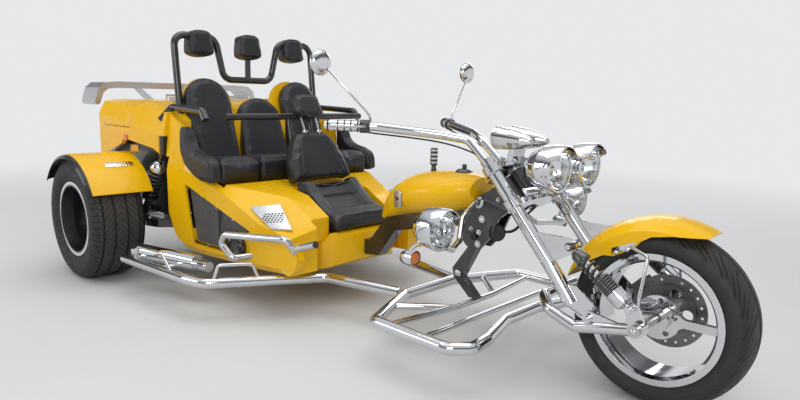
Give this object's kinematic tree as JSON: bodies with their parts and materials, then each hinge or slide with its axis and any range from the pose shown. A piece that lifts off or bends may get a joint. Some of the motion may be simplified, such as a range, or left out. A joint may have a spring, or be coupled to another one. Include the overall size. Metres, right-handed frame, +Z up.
{
  "type": "motorized trike",
  "caption": "Long open three-wheeler with a raked leading-link fork, a rider's seat, a rear bench under a roll bar, a boot with a hinged lid and a wing",
  "frame": {"origin": "centre of the bounding box in X and Y, on the ground at Z = 0", "axes": "+X forward to the steered front wheel, +Y to the rider's left, +Z up"},
  "size_m": [3.834, 1.884, 1.3769],
  "materials": {
    "paint": "glossy orange-yellow paint",
    "black": "satin black paint",
    "chrome": "polished chrome",
    "steel": "brushed",
    "alloy": "gunmetal cast rim",
    "tyre": "road rubber",
    "vinyl": "black vinyl",
    "rubber": "moulded grip",
    "silver": "silver paint",
    "iron": "cast housing"
  },
  "bodies": {
    "chassis": {"steering_head": "black", "backbone": "black", "floor_frame": "chrome", "side_rails": "chrome", "silencers": "chrome", "step_hoops": "chrome", "roll_bar": "black", "headrests": "vinyl", "armrests": "black", "grab_bar": "black", "bench_cushions": "vinyl", "bench_backs": "vinyl", "bench_shell": "paint", "rider_cushion": "vinyl", "rider_back": "vinyl", "rider_headrest": "vinyl", "tub": "paint", "nose": "paint", "tail": "paint", "lid_hinges": "steel", "rear_fenders": "paint", "engine": "iron", "rear_frame": "black", "rear_arms": "black", "drive_shafts": "steel", "rear_shocks": "black", "tank": "paint", "tank_fittings": "chrome", "side_lamps": "chrome", "inner_arches": "black"},
    "steering_assembly": {"fork": "chrome", "front_link": "chrome", "front_axle": "steel", "front_shocks": "chrome", "front_fender": "paint", "fender_stays": "chrome", "handlebar": "chrome", "grips": "rubber", "mirrors": "chrome", "headlamps": "chrome", "clocks": "chrome", "front_caliper": "iron"},
    "front_wheel": {"front_rim": "chrome", "front_tyre": "tyre", "front_disc": "steel"},
    "rear_wheel_right": {"rear_rim_right": "alloy", "rear_tyre_right": "tyre"},
    "rear_wheel_left": {"rear_rim_left": "alloy", "rear_tyre_left": "tyre"},
    "boot_cover": {"boot_lid": "paint", "luggage_rack": "chrome", "spoiler": "silver"}
  },
  "joints": [
    {"name": "steering", "type": "hinge", "parent": "chassis", "child": "steering_assembly", "pos_m": [1.07142, 0, 0.64848], "axis": [-0.6521, 0, 0.7581], "range_deg": [-30, 30]},
    {"name": "front_wheel_spin", "type": "hinge", "parent": "steering_assembly", "child": "front_wheel", "pos_m": [1.604, 0, 0.313], "axis": [0, 1, 0], "continuous": true},
    {"name": "rear_wheel_spin_right", "type": "hinge", "parent": "chassis", "child": "rear_wheel_right", "pos_m": [-1.272, -0.783, 0.332], "axis": [0, 1, 0], "continuous": true},
    {"name": "rear_wheel_spin_left", "type": "hinge", "parent": "chassis", "child": "rear_wheel_left", "pos_m": [-1.272, 0.783, 0.332], "axis": [0, 1, 0], "continuous": true},
    {"name": "boot_lid_hinge", "type": "hinge", "parent": "chassis", "child": "boot_cover", "pos_m": [-1.206, 0, 0.996], "axis": [0, 1, 0], "range_deg": [0, 55]}
  ]
}
